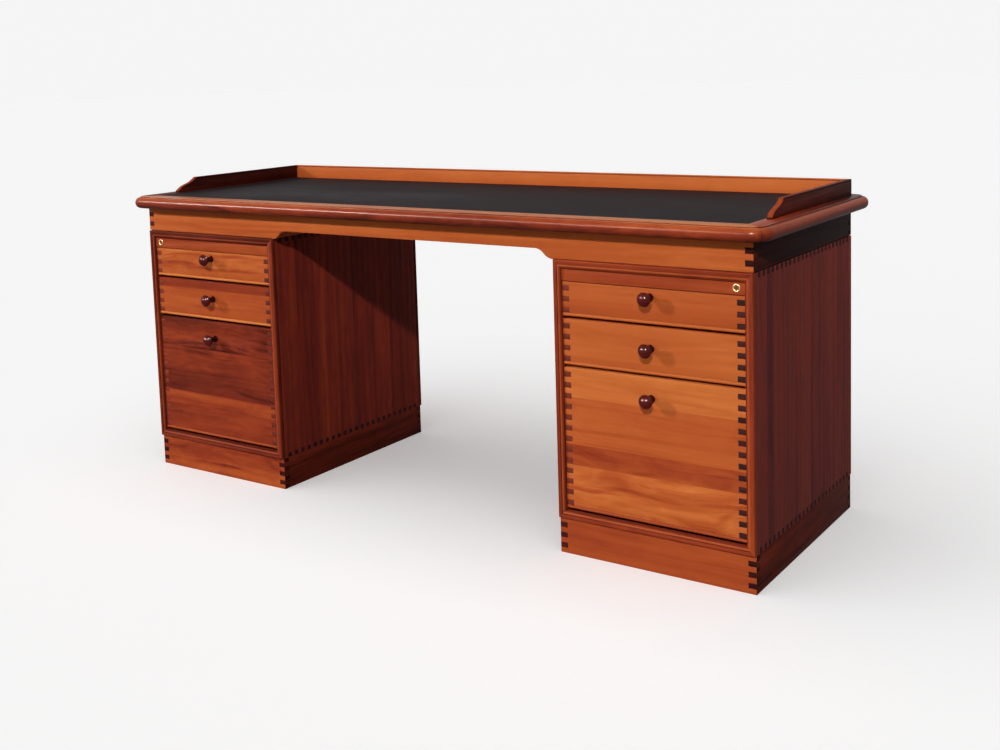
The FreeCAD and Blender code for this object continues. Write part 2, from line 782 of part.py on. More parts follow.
def runners():
    """A runner on each side panel for each drawer."""
    middle = inner_side + S.pedestal_width / 2
    start = drawer_face + S.front_thickness + S.groove_front + S.slide_clearance
    length = panel_front - S.runner_back - start
    depth = S.side_clearance + S.groove_depth - S.slide_clearance
    members = []
    for name, level in front_levels.items():
        runner_top = level + front_heights[name] - S.runner_drop - S.slide_clearance
        runner = board("right_%s_runner" % name,
                       (inner_side + S.carcass_board, start, runner_top - S.runner_height),
                       (depth, length, S.runner_height))
        members.append(runner)
        members.append(mirrored("right_%s_outer_runner" % name, runner, (1, 0, 0), (middle, 0, 0)))
    return group("right_runners", members)


# ---------------------------------------------------------------- lock

lock_x = outer_side - S.lock_inset
lock_z = rail_level + S.lock_rail_height / 2
pin_x = lock_x - S.crank_radius * math.sqrt(0.5)
pin_z = lock_z + S.crank_radius * math.sqrt(0.5)
bar_y = drawers_back + S.bar_front
bar_left = pin_x - S.bar_width / 2


def lock_rail():
    """Fixed rail over the top drawer, bored for the lock."""
    rail_board = board("right_rail_board", (inner_side + S.carcass_board, drawer_face, rail_level),
                       (opening_width, S.front_thickness, S.lock_rail_height))
    bore = cylinder("right_rail_bore", S.lock_radius, (lock_x, drawer_face, lock_z), S.front_thickness)
    return cut("right_lock_rail", rail_board, bore)


def lock_housing():
    length = S.front_thickness + S.flange_depth
    start = (lock_x, drawer_face - S.flange_depth, lock_z)
    barrel = cylinder("right_lock_barrel", S.lock_radius, start, length)
    ring = cylinder("right_lock_ring", S.lock_flange, start, S.flange_depth)
    bore = cylinder("right_lock_bore", S.plug_radius + S.pivot_clearance, start, length)
    return cut("right_lock_housing", fused("right_lock_shell", [barrel, ring]), bore)


def lock_plug():
    """Plug with its key slot, and the rod that ends in a crank disc and pin behind the drawers."""
    start = drawer_face - S.flange_depth
    plug_end = drawer_face + S.front_thickness
    disc_start = bar_y - S.steel - S.pin_play
    plug = cylinder("right_plug_barrel", S.plug_radius, (lock_x, start, lock_z), plug_end - start)
    rod = cylinder("right_plug_rod", S.rod_radius, (lock_x, plug_end, lock_z), disc_start - plug_end)
    disc = cylinder("right_crank_disc", S.crank_disc, (lock_x, disc_start, lock_z), S.steel)
    pin_start = disc_start + S.steel
    pin = cylinder("right_crank_pin", S.crank_pin, (pin_x, pin_start, pin_z),
                   bar_y + S.steel + S.pin_play - pin_start)
    slot = block("right_key_slot",
                 (lock_x - S.key_slot_width / 2, start, lock_z - S.key_slot_height / 2),
                 (S.key_slot_width, S.key_slot_depth, S.key_slot_height))
    return cut("right_lock_plug", fused("right_plug_solid", [plug, rod, disc, pin]), slot)


def lock_bar():
    """Flat bar that the crank lowers, with one hook over the back board of each drawer."""
    hook_x = drawer_left + drawer_width - S.drawer_side - S.hook_width - S.hook_side_gap
    lip_back = drawers_back - S.drawer_back - S.hook_play
    hooks = []
    hook_levels = []
    for name, level in front_levels.items():
        arm_level = level + front_heights[name] - S.back_drop + S.hook_lift + S.hook_lip
        arm = block("right_%s_hook_arm" % name, (hook_x, lip_back - S.steel, arm_level),
                    (S.hook_width, bar_y - lip_back + S.steel, S.steel))
        lip = block("right_%s_hook_lip" % name, (hook_x, lip_back - S.steel, arm_level - S.hook_lip),
                    (S.hook_width, S.steel, S.hook_lip))
        hooks += [arm, lip]
        hook_levels.append(arm_level)
    bar_low = hook_levels[0] - S.bar_width
    bar_high = pin_z + S.crank_pin + S.steel
    flat = block("right_bar_flat", (bar_left, bar_y, bar_low), (S.bar_width, S.steel, bar_high - bar_low))
    play = S.crank_radius * (1 - math.sqrt(0.5)) + S.pin_play
    slot = block("right_bar_slot",
                 (pin_x - S.crank_pin - play, bar_y, pin_z - S.crank_pin - S.pin_play),
                 (2 * (S.crank_pin + play), S.steel, 2 * (S.crank_pin + S.pin_play)))
    return cut("right_lock_bar", fused("right_bar_solid", [flat] + hooks), slot)


def lock_guides():
    """Two blocks on the back panel that guide the bar, and the bearing of the rod."""
    front = bar_y - S.guide_margin
    members = []
    for index, name in enumerate(("bottom", "middle")):
        level = front_levels[name] + front_heights[name] + S.bar_width
        solid = block("right_guide_block_%d" % index, (bar_left - S.guide_margin, front, level),
                      (S.bar_width + 2 * S.guide_margin, panel_front - front, S.guide_height))
        slot = block("right_guide_slot_%d" % index,
                     (bar_left - S.slide_clearance, bar_y - S.slide_clearance, level),
                     (S.bar_width + 2 * S.slide_clearance, S.steel + 2 * S.slide_clearance, S.guide_height))
        members.append(cut("right_guide_%d" % index, solid, slot))
    bearing_low = lock_z - S.rod_radius - S.steel
    hanger = block("right_bearing_block", (lock_x - S.crank_disc, drawers_back, bearing_low),
                   (2 * S.crank_disc, S.guide_height, pedestal_top - S.level_board - bearing_low))
    bore = cylinder("right_bearing_bore", S.rod_radius + S.pivot_clearance,
                    (lock_x, drawers_back, lock_z), S.guide_height)
    members.append(cut("right_bearing", hanger, bore))
    return group("right_lock_guides", members)


# ---------------------------------------------------------------- both pedestals

front_moulding = front_frame()
pedestal = [
    side_panel("right_outer_panel", outer_side - S.carcass_board),
    side_panel("right_inner_panel", inner_side),
    level_board("right_carcass_bottom", S.plinth_height),
    level_board("right_carcass_top", pedestal_top - S.level_board),
    back_panel(),
    front_moulding,
    mirrored("right_back_frame", front_moulding, (0, 1, 0)),
    plinth(),
    runners(),
    lock_rail(),
    lock_housing(),
    lock_plug(),
    lock_bar(),
    lock_guides(),
]
for drawer in front_levels:
    pedestal += [drawer_front(drawer), drawer_box(drawer), knob(drawer)]
for piece in pedestal:
    node(piece)
    node(mirrored(piece.Label.replace("right", "left"), piece))

doc.recompute()
for obj in doc.Objects:
    if "Invalid" in obj.State or "Error" in obj.State:
        raise RuntimeError("%s did not recompute: %s" % (obj.Label, obj.State))
for piece in nodes:
    if piece.Shape.isNull() or not piece.Shape.isValid():
        raise RuntimeError("%s has no valid shape" % piece.Label)

os.makedirs("parts", exist_ok=True)
for piece in nodes:
    piece.Shape.exportStep("parts/%s.step" % piece.Label)
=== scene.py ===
import json
import math
import random

import bmesh
import bpy
from mathutils import Matrix, Vector


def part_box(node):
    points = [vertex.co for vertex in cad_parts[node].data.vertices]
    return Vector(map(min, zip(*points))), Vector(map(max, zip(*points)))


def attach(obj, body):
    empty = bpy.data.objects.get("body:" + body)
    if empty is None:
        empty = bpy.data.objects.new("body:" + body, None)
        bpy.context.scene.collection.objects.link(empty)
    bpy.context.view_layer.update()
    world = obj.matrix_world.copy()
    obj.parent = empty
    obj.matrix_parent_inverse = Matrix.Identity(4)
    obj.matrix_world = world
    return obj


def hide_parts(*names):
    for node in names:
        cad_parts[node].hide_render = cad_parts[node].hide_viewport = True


# Twin-pedestal writing desk in finger-jointed mahogany. Metres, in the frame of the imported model:
# the sitter is at -Y, +X is to the sitter's right and Z = 0 is the floor.

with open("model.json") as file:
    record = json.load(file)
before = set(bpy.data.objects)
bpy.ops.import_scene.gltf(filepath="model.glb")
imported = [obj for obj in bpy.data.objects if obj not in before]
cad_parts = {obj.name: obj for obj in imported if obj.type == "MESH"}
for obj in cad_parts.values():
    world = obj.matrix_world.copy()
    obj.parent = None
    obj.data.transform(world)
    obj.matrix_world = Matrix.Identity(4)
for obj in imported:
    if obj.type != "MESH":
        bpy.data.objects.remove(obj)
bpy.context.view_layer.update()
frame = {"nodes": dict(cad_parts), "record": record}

MM = 0.001
X, Y, Z = 0, 1, 2


# ---------------------------------------------------------------- colours and shader graphs

def srgb(red, green, blue):
    """A colour of 0 to 255 steps as Blender's linear values."""
    def linear(step):
        share = step / 255
        return share / 12.92 if share <= 0.04045 else ((share + 0.055) / 1.055) ** 2.4
    return (linear(red), linear(green), linear(blue), 1.0)


def grey(value):
    return (value, value, value, 1.0)


class Graph:
    """The node tree of a material or a world, with a short call for each kind of node in use."""

    # the sockets of a Mix node that belong to its colours
    MIX_FACTOR, MIX_FIRST, MIX_SECOND, MIX_RESULT = 0, 6, 7, 2

    def __init__(self, owner):
        owner.use_nodes = True
        self.owner = owner
        self.tree = owner.node_tree
        self.tree.nodes.clear()

    def add(self, kind, inputs=(), **settings):
        made = self.tree.nodes.new(kind)
        for name, value in settings.items():
            setattr(made, name, value)
        for socket, value in dict(inputs).items():
            self.put(made.inputs[socket], value)
        return made

    def put(self, socket, value):
        if isinstance(value, bpy.types.NodeSocket):
            self.tree.links.new(value, socket)
        else:
            socket.default_value = value

    def attribute(self, name, output):
        return self.add("ShaderNodeAttribute", attribute_name=name).outputs[output]

    def place(self):
        return self.add("ShaderNodeTexCoord").outputs["Object"]

    def noise(self, vector, stretch, shift=(0, 0, 0), detail=2.0, roughness=0.5, distortion=0.0):
        """Noise of about stretch cells to the metre along each axis."""
        mapped = self.add("ShaderNodeMapping", {"Vector": vector, "Scale": stretch, "Location": shift})
        return self.add("ShaderNodeTexNoise", {
            "Vector": mapped.outputs["Vector"], "Scale": 1.0, "Detail": detail,
            "Roughness": roughness, "Distortion": distortion}).outputs["Fac"]

    def math(self, operation, first, second=0.0, third=0.0, clamp=False):
        return self.add("ShaderNodeMath", {0: first, 1: second, 2: third},
                        operation=operation, use_clamp=clamp).outputs[0]

    def times(self, first, second):
        return self.math("MULTIPLY", first, second)

    def total(self, *terms, clamp=False):
        """The sum of its terms, held between 0 and 1 where clamp is set."""
        running = terms[0]
        for term in terms[1:-1]:
            running = self.math("ADD", running, term)
        return self.math("ADD", running, terms[-1], clamp=clamp)

    def centred(self, value, weight):
        """A noise of 0 to 1 turned into a swing of weight each way."""
        is_socket = isinstance(weight, bpy.types.NodeSocket)
        doubled = self.times(weight, 2.0) if is_socket else weight * 2
        return self.times(self.math("SUBTRACT", value, 0.5), doubled)

    def vector_math(self, operation, first, second=(0, 0, 0)):
        return self.add("ShaderNodeVectorMath", {0: first, 1: second}, operation=operation)

    def span(self, value, low, high, to_low=0.0, to_high=1.0):
        return self.add("ShaderNodeMapRange", {
            "Value": value, "From Min": low, "From Max": high, "To Min": to_low, "To Max": to_high,
        }).outputs["Result"]

    def ramp(self, value, stops):
        made = self.add("ShaderNodeValToRGB", {"Fac": value})
        elements = made.color_ramp.elements
        while len(elements) < len(stops):
            elements.new(0.5)
        for element, (position, colour) in zip(elements, stops):
            element.position = position
            element.color = colour
        return made.outputs["Color"]

    def mix(self, factor, first, second):
        return self.add("ShaderNodeMix", {
            self.MIX_FACTOR: factor, self.MIX_FIRST: first, self.MIX_SECOND: second,
        }, data_type="RGBA").outputs[self.MIX_RESULT]

    def bump(self, height, distance, strength):
        return self.add("ShaderNodeBump", {
            "Height": height, "Distance": distance, "Strength": strength}).outputs["Normal"]

    def finish(self, **sockets):
        """Principled surface; a keyword such as base_color is the socket Base Color."""
        shader = self.add("ShaderNodeBsdfPrincipled")
        for name, value in sockets.items():
            words = name.replace("_", " ").title().replace("Ior", "IOR")
            self.put(shader.inputs[words], value)
        self.add("ShaderNodeOutputMaterial", {"Surface": shader.outputs[0]})
        return self.owner


# ---------------------------------------------------------------- finishes

# colours down a log of mahogany, from pale orange heartwood to nearly black streaks
MAHOGANY = [
    (0.00, srgb(217, 131, 66)),
    (0.22, srgb(197, 104, 50)),
    (0.42, srgb(177, 82, 39)),
    (0.62, srgb(147, 57, 31)),
    (0.80, srgb(104, 36, 22)),
    (1.00, srgb(46, 14, 11)),
]
# a redder log, for the panels, the carcasses and the drawer boxes
RED_MAHOGANY = [
    (0.00, srgb(196, 92, 48)),
    (0.30, srgb(164, 62, 34)),
    (0.50, srgb(132, 43, 27)),
    (0.66, srgb(110, 31, 22)),
    (0.82, srgb(78, 21, 17)),
    (1.00, srgb(36, 10, 9)),
]
LEATHER = [(0.0, srgb(24, 18, 20)), (0.6, srgb(33, 25, 28)), (1.0, srgb(52, 38, 40))]
# a pale grey for the leather's painted sheen
LEATHER_SHEEN = srgb(84, 82, 88)
ROSEWOOD = [(0.0, srgb(44, 7, 8)), (0.5, srgb(84, 15, 14)), (1.0, srgb(114, 32, 24))]


def mahogany(name, log, polish, shine, varnish):
    """Mahogany boards. The grain attribute runs along the board in X, and the figure breaks at
    each glue line, because each stave has its own offset, tone and strength of figure."""
    g = Graph(bpy.data.materials.new(name))
    grain = g.attribute("grain", "Vector")
    tone = g.attribute("tone", "Fac")
    figure = g.attribute("figure", "Fac")
    end = g.attribute("end", "Fac")
    # painted light and shade at each corner: above 0 it darkens the colour, below 0 it paints a
    # highlight or sheen
    painted_light = g.attribute("painted_light", "Fac")

    # the grain sways across the board, further where the figure is strong
    wander = g.noise(grain, (2.6, 6.5, 6.5), detail=1.5)
    sway = g.centred(wander, g.math("MULTIPLY_ADD", figure, 0.030, 0.004))
    sideways = g.add("ShaderNodeCombineXYZ", {"Y": sway, "Z": sway}).outputs[0]
    waved = g.vector_math("ADD", grain, sideways).outputs[0]

    bands = g.noise(waved, (1.1, 19.0, 19.0), detail=3.0)
    streaks = g.noise(waved, (2.6, 150.0, 150.0), detail=3.0, roughness=0.6)
    lines = g.noise(waved, (0.8, 48.0, 48.0), (5.2, 2.2, 8.1), detail=4.0, roughness=0.6)
    dark_lines = g.span(lines, 0.53, 0.70)
    ribbon = g.noise(waved, (11.0, 30.0, 30.0), (3.1, 1.7, 0.4), distortion=1.2)
    cloud = g.noise(grain, (4.0, 9.0, 9.0), (1.3, 4.1, 2.7), detail=3.0)
    pores = g.span(g.noise(grain, (50.0, 1300.0, 1300.0), detail=1.0), 0.60, 0.72)

    # how far each of them moves the colour along the log; the last term is painted light and shade
    swing = g.total(g.centred(bands, g.times(figure, 0.30)),
                    g.times(dark_lines, g.times(figure, 0.20)),
                    g.centred(ribbon, g.times(figure, 0.13)),
                    g.centred(streaks, 0.075),
                    g.centred(cloud, 0.09),
                    g.times(pores, 0.05),
                    g.times(painted_light, 0.42))
    face = g.ramp(g.total(tone, swing, clamp=True), log)

    # end grain drinks the oil: darker, duller and speckled, and each finger a little different
    speckle = g.noise(grain, (40.0, 600.0, 600.0))
    rings = g.noise(grain, (4.0, 120.0, 30.0))
    fingers = g.noise(grain, (0.0, 34.0, 0.0), (0.0, 3.3, 0.0), detail=1.0)
    end_depth = g.total(g.math("MULTIPLY_ADD", tone, 0.16, 0.88),
                        g.centred(fingers, 0.28),
                        g.centred(speckle, 0.10),
                        g.centred(rings, 0.10), clamp=True)
    colour = g.mix(end, face, g.ramp(end_depth, log))

    roughness = g.total(polish, g.centred(streaks, 0.06), g.times(end, 0.18), clamp=True)
    height = g.math("SUBTRACT", g.times(streaks, 0.25), g.times(pores, 0.75))
    return g.finish(base_color=colour, roughness=roughness, specular_ior_level=shine,
                    coat_weight=varnish, coat_roughness=0.22,
                    normal=g.bump(height, distance=0.06 * MM, strength=0.5))


def plain_timber(name):
    """Unpolished boards that only show from inside or below, all with their grain along Y."""
    g = Graph(bpy.data.materials.new(name))
    place = g.place()
    bands = g.noise(place, (14.0, 1.6, 14.0), detail=3.0)
    streaks = g.noise(place, (160.0, 6.0, 160.0))
    depth = g.total(0.36, g.centred(bands, 0.14), g.centred(streaks, 0.09), clamp=True)
    return g.finish(base_color=g.ramp(depth, MAHOGANY), roughness=0.62, specular_ior_level=0.3,
                    normal=g.bump(streaks, distance=0.1 * MM, strength=0.5))


def black_leather(name):
    """Hide with a fine pebble, faint creases, soft wear and a painted sheen left of the middle."""
    g = Graph(bpy.data.materials.new(name))
    place = g.place()
    pebble = g.add("ShaderNodeTexVoronoi", {"Vector": place, "Scale": 620.0, "Randomness": 0.9},
                   feature="SMOOTH_F1").outputs["Distance"]
    crease = g.noise(place, (150.0, 150.0, 150.0), detail=4.0, roughness=0.65)
    wear_and_sheen = g.noise(place, (2.2, 5.0, 5.0))
    scuffs_and_sheen = g.noise(place, (16.0, 45.0, 45.0), detail=4.0, roughness=0.7)
    shade = g.total(g.centred(wear_and_sheen, 0.35), g.centred(scuffs_and_sheen, 0.18), 0.45, clamp=True)

    # an oval patch of painted sheen, palest in its middle and broken up by the scuffs
    patch_middle = (-0.35, -0.08, 0.76)
    patch_narrowing = (1.5, 3.6, 1.0)
    from_middle = g.vector_math("SUBTRACT", place, patch_middle).outputs[0]
    oval = g.vector_math("MULTIPLY", from_middle, patch_narrowing).outputs[0]
    distance = g.vector_math("LENGTH", oval).outputs["Value"]
    painted_sheen = g.total(g.span(distance, 1.0, 0.0, -0.25, 0.5), g.centred(wear_and_sheen, 0.8), clamp=True)
    colour = g.mix(g.times(painted_sheen, g.times(scuffs_and_sheen, 0.8)), g.ramp(shade, LEATHER), LEATHER_SHEEN)

    height = g.total(g.times(pebble, -0.7), g.times(crease, 0.3))
    return g.finish(base_color=colour, roughness=g.span(shade, 0.0, 1.0, 0.60, 0.48),
                    specular_ior_level=0.032,
                    normal=g.bump(height, distance=0.16 * MM, strength=0.6))


def knob_polish(name):
    """Dark rosewood under a gloss, with its grain along X; painted shade behind the head darkens the
    neck.
    """
    g = Graph(bpy.data.materials.new(name))
    place = g.place()
    streaks = g.noise(place, (18.0, 60.0, 420.0), detail=3.0)
    bands = g.noise(place, (20.0, 30.0, 90.0))
    shade = g.total(g.centred(streaks, 0.30), g.centred(bands, 0.25))
    # painted shade behind the head, on the neck and the foot
    shade = g.math("SUBTRACT", shade, g.times(g.attribute("painted_light", "Fac"), 0.45))
    shade = g.total(shade, 0.5, clamp=True)
    return g.finish(base_color=g.ramp(shade, ROSEWOOD), roughness=0.30, specular_ior_level=0.06,
                    coat_weight=0.34, coat_roughness=0.12)


def metal(name, pale, dull, roughness):
    """Cast and polished metal with faint tarnish and turning marks."""
    g = Graph(bpy.data.materials.new(name))
    place = g.place()
    tarnish = g.noise(place, (260.0, 260.0, 260.0), detail=3.0)
    marks = g.noise(place, (900.0, 90.0, 900.0), detail=1.0)
    worn = g.total(roughness, g.centred(tarnish, 0.10), clamp=True)
    return g.finish(base_color=g.mix(tarnish, pale, dull), metallic=1.0, roughness=worn,
                    normal=g.bump(marks, distance=0.03 * MM, strength=0.4))


FINISHES = {
    "edge": mahogany("mahogany edge", MAHOGANY, polish=0.30, shine=0.055, varnish=0.10),
    "polished": mahogany("mahogany polished", MAHOGANY, polish=0.44, shine=0.035, varnish=0.0),
    "oiled": mahogany("mahogany oiled", RED_MAHOGANY, polish=0.50, shine=0.10, varnish=0.0),
    "inner": plain_timber("inner boards"),
    "leather": black_leather("black leather"),
    "knob": knob_polish("knob polish"),
    "brass": metal("lock brass", srgb(226, 196, 154), srgb(188, 154, 112), roughness=0.36),
    "plug": metal("browned brass", srgb(150, 116, 80), srgb(92, 66, 44), roughness=0.40),
    "steel": metal("bright steel", srgb(196, 196, 198), srgb(140, 140, 144), roughness=0.34),
}


# ---------------------------------------------------------------- staves

# how each piece was picked from the stack: its staves as (share of the width, tone, strength of
# figure), from the low side of the board to its high side; a tone of 0 is the palest of the log
STAVES = {
    "right_bottom_drawer_front": [(0.30, 0.25, 1.7), (0.15, 0.48, 1.2), (0.34, 0.37, 0.5),
                                  (0.21, 0.20, 0.4)],
    "right_middle_drawer_front": [(1.0, 0.29, 0.25)],
    "right_top_drawer_front": [(0.45, 0.42, 0.35), (0.55, 0.36, 0.25)],
    "left_bottom_drawer_front": [(0.22, 0.68, 0.7), (0.12, 0.57, 0.7), (0.10, 0.80, 0.8),
                                 (0.30, 0.73, 0.7), (0.26, 0.77, 1.0)],
    "left_middle_drawer_front": [(0.76, 0.43, 0.6), (0.24, 0.66, 0.4)],
    "left_top_drawer_front": [(1.0, 0.29, 1.4)],
    "right_lock_rail": [(1.0, 0.52, 0.3)],
    "left_lock_rail": [(1.0, 0.53, 0.5)],
    "apron_front": [(1.0, 0.34, 0.5)],
    "apron_back": [(1.0, 0.38, 0.5)],
    "gallery_back": [(1.0, 0.28, 0.4)],
    "gallery_right": [(1.0, 0.90, 0.3)],
    "gallery_left": [(1.0, 0.93, 0.3)],
    "top_edge_front": [(1.0, 0.61, 1.1)],
    "top_edge_back": [(1.0, 0.62, 0.6)],
    "top_edge_right": [(1.0, 0.72, 0.5)],
    "top_edge_left": [(1.0, 0.70, 0.5)],
    "right_outer_panel": [(0.10, 0.57, 0.6), (0.06, 0.71, 0.9), (0.10, 0.57, 0.5), (0.15, 0.62, 0.5),
                          (0.13, 0.55, 0.6), (0.16, 0.63, 0.5), (0.14, 0.57, 0.6), (0.16, 0.61, 0.5)],
    "left_inner_panel": [(0.12, 0.49, 0.8), (0.14, 0.56, 0.7), (0.13, 0.47, 0.7), (0.12, 0.54, 0.8),
                         (0.15, 0.59, 0.7), (0.12, 0.50, 0.8), (0.12, 0.56, 0.7), (0.10, 0.52, 0.7)],
    "frame_side_right": [(1.0, 1.0, 0.3)],
    "frame_side_left": [(1.0, 0.80, 0.4)],
}
# a solid of a drawer front that is less high than this is the lip strip under it
LIP_HEIGHT = 12 * MM
# the lip strips are painted paler than the fronts, as a painted highlight along their rounded edges,
# least on the lowest lips
LIP_HIGHLIGHT_TONES = {"left": 0.10, "right": 0.26, "lowest": 0.50}
LIP_FIGURE = 0.3
# the other boards are divided at random: about how wide a stave is, and how far widths differ
STAVE_WIDTH = (58 * MM, 96 * MM)
STAVE_SHARE = (0.75, 1.25)


def usual_look(node, along):
    """Tone, its spread each way and strength of figure for a board that isn't in STAVES."""
    right = node.startswith("right")
    if "plinth" in node and along == Y:
        return 0.88, 0.08, 0.6
    if "plinth" in node:
        return (0.58, 0.08, 0.4) if right else (0.55, 0.08, 1.3)
    if node.endswith("_frame"):
        return (0.64, 0.03, 0.6) if right else (0.75, 0.03, 0.6)
    if "drawer_box" in node:
        return 0.34, 0.05, 0.4
    if "carcass" in node:
        return 0.84, 0.05, 0.4
    return (0.52, 0.08, 0.6) if right else (0.42, 0.08, 0.6)


def stave_list(node, dice, width, along):
    if node in STAVES:
        return STAVES[node]
    tone, spread, figure = usual_look(node, along)
    count = max(1, round(width / dice.uniform(*STAVE_WIDTH)))
    shares = [dice.uniform(*STAVE_SHARE) for _ in range(count)]
    total = sum(shares)
    return [(share / total, tone + dice.uniform(-spread, spread), figure) for share in shares]


def lip_stave(node):
    side = "lowest" if "bottom" in node else node.split("_")[0]
    return [(1.0, LIP_HIGHLIGHT_TONES[side], LIP_FIGURE)]


def glue_lines(staves, low, width):
    """Where each stave but the last one ends, along the axis across the board."""
    cuts = []
    for share, _, _ in staves[:-1]:
        low += share * width
        cuts.append(low)
    return cuts


# ---------------------------------------------------------------- end grain, and painted light and shade

# from the middle of the desk, between the left-hand and the right-hand boards of a pedestal
PEDESTAL_MIDDLE = 655 * MM
# above the floor, between the lower and the upper mouldings
MOULDING_MIDDLE = 373 * MM
# a board of the plinth that is further than this to the left is its left-hand side
PLINTH_SIDE = 100 * MM

# how much of a face's normal points up on a level face, and forwards on a gallery's curved end
LEVEL = 0.95
FORWARDS = 0.2

# limits between the corners of a pedestal's mouldings, from their outer edge inwards: that of the
# rounded edge, of the flat and of the quirk; the flat and the bead are less deep than the last
EDGE_END = 8 * MM
FLAT_END = 10 * MM
QUIRK_END = 14 * MM
FACE_DEPTH = 2 * MM

# limits round the bottom of the line scratched in the gallery: its depth, and below the top
LINE_DEPTH = (1 * MM, 2 * MM)
LINE_PLACE = (2 * MM, 5 * MM)

# from the raised flat of the top edge down to the foot of its step, give or take the second
STEP_DOWN = 2.5 * MM
STEP_REACH = 0.5 * MM


def end_shown(node, middle):
    """How strongly the end grain of a board shows against its face."""
    if node == "frame_side_left":
        return 0.45
    right = node.startswith("right")
    divide = math.copysign(PEDESTAL_MIDDLE, middle.x)
    if "plinth" in node and middle.x < divide - PLINTH_SIDE:
        return 0.6 if right else 0.3
    if "drawer_box" not in node:
        return 1.0
    if right:
        return 0.60 if middle.x < divide else 1.0
    return 0.35 if middle.x < divide else 0.75


def moulding_painted_light(place, low, high):
    """Painted shade in the quirk and a little on the deeper faces further in, and a painted highlight
    along the crest of the bead.
    """
    size = high - low
    across = X if size.x < size.z else Z
    middle = MOULDING_MIDDLE if across == Z else math.copysign(PEDESTAL_MIDDLE, place.x)
    outer = max(low[across], high[across], key=lambda edge: abs(edge - middle))
    inward = abs(place[across] - outer)
    depth = min(place.y - low.y, high.y - place.y)
    if inward < EDGE_END:
        return 0.0
    if depth < FACE_DEPTH:
        return -0.4 if inward > FLAT_END else 0.0
    return 1.0 if inward < QUIRK_END else 0.2


def gallery_painted_light(node, place, normal, low, high):
    """Painted shade in the scratched line, a painted highlight along the upper edges and a stronger
    painted highlight on the curved ends.
    """
    through = Y if node == "gallery_back" else X
    if through == X and normal.y < -FORWARDS:
        return -0.85
    if normal.z > LEVEL:
        return -0.4
    depth = min(place[through] - low[through], high[through] - place[through])
    in_line = (LINE_DEPTH[0] < depth < LINE_DEPTH[1]
               and LINE_PLACE[0] < high.z - place.z < LINE_PLACE[1])
    return 1.0 if in_line else 0.0


def top_edge_painted_light(node, place, normal, low, high):
    """Painted light on the top edge: level faces get a painted sheen on the front edge, one on the
    right-hand edge that turns to painted shade towards the back, and a little painted shade elsewhere;
    the foot of the step gets painted shade, and the bullnose is painted dark below and pale above."""
    if normal.z > LEVEL:
        backwards = (place.y - low.y) / (high.y - low.y)
        return {"top_edge_front": -1.1, "top_edge_right": -0.6 + 1.2 * backwards}.get(node, 0.3)
    if abs(high.z - place.z - STEP_DOWN) < STEP_REACH:
        return 0.8
    contrast = 0.9 if node == "top_edge_front" else 1.5
    return 0.60 - contrast * (place.z - low.z) / (high.z - low.z)


def painted_light_at(node, place, normal, low, high):
    """How much painted light a corner gets: above 0 painted shade darkens it, below 0 a painted
    highlight or sheen makes it paler."""
    if node.endswith("_frame"):
        return moulding_painted_light(place, low, high)
    if node.startswith("gallery"):
        return gallery_painted_light(node, place, normal, low, high)
    if node.startswith("top_edge"):
        return top_edge_painted_light(node, place, normal, low, high)
    return 0.0


# ---------------------------------------------------------------- boards

# boards with their grain from side to side, although they are deeper than wide
GRAIN_ALONG_X = ("carcass_bottom", "carcass_top")
# corners of a solid are the same corner where they agree in steps of this size
CORNER_STEP = 0.01 * MM
# a cut uses the corners that are this near to it
CUT_REACH = 0.0001 * MM
FLAT_ANGLE = math.radians(1)
ARRIS_ANGLE = math.radians(40)
ARRIS_EASE = 0.35 * MM
# how much of a face's normal points along the grain where end grain starts to show, and how much
# more it takes until only end grain shows
END_START = 0.55
END_RISE = 0.35
# each stave takes its figure from its own place in the log, up to this many metres off each way
LOG_REACH = 9
# between faces at less than these angles the shading is smooth
BOARD_SMOOTH = math.radians(32)
TURNED_SMOOTH = math.radians(50)


def islands_of(mesh):
    """The separate solids of a CAD node, each as a bmesh with merged corners and flat faces.

    A node's solids follow one another, and neighbours touch face to face, so corners are merged
    within one solid only. A solid is complete once each of its edges has met its second face.
    """
    found = []
    solid, corners, open_edges = bmesh.new(), {}, set()
    for polygon in mesh.polygons:
        points = [mesh.vertices[index].co for index in polygon.vertices]
        keys = [tuple(round(value / CORNER_STEP) for value in point) for point in points]
        if len(set(keys)) < len(keys):
            continue
        for key, point in zip(keys, points):
            if key not in corners:
                corners[key] = solid.verts.new(point)
        solid.faces.new([corners[key] for key in keys])
        for pair in zip(keys, keys[1:] + keys[:1]):
            open_edges ^= {frozenset(pair)}
        if not open_edges:
            solid.normal_update()
            bmesh.ops.dissolve_limit(solid, angle_limit=FLAT_ANGLE, verts=solid.verts,
                                     edges=solid.edges)
            found.append(solid)
            solid, corners = bmesh.new(), {}
    if open_edges:
        raise ValueError("a solid of " + mesh.name + " is open")
    solid.free()
    return found


def extent(bm):
    low = Vector([min(vert.co[axis] for vert in bm.verts) for axis in (X, Y, Z)])
    high = Vector([max(vert.co[axis] for vert in bm.verts) for axis in (X, Y, Z)])
    return low, high


def board_axes(node, size):
    """Axes along the grain, across the face and through the board."""
    along = X if node.endswith(GRAIN_ALONG_X) else max((X, Y, Z), key=lambda axis: size[axis])
    others = [axis for axis in (X, Y, Z) if axis != along]
    across, through = sorted(others, key=lambda axis: -size[axis])
    return along, across, through


def split_staves(bm, across, cuts):
    """Scores the board at its glue lines, so that each stave has faces of its own."""
    normal = Vector((0, 0, 0))
    normal[across] = 1
    for cut in cuts:
        point = Vector((0, 0, 0))
        point[across] = cut
        bmesh.ops.bisect_plane(bm, geom=bm.verts[:] + bm.edges[:] + bm.faces[:], dist=CUT_REACH,
                               plane_co=point, plane_no=normal)


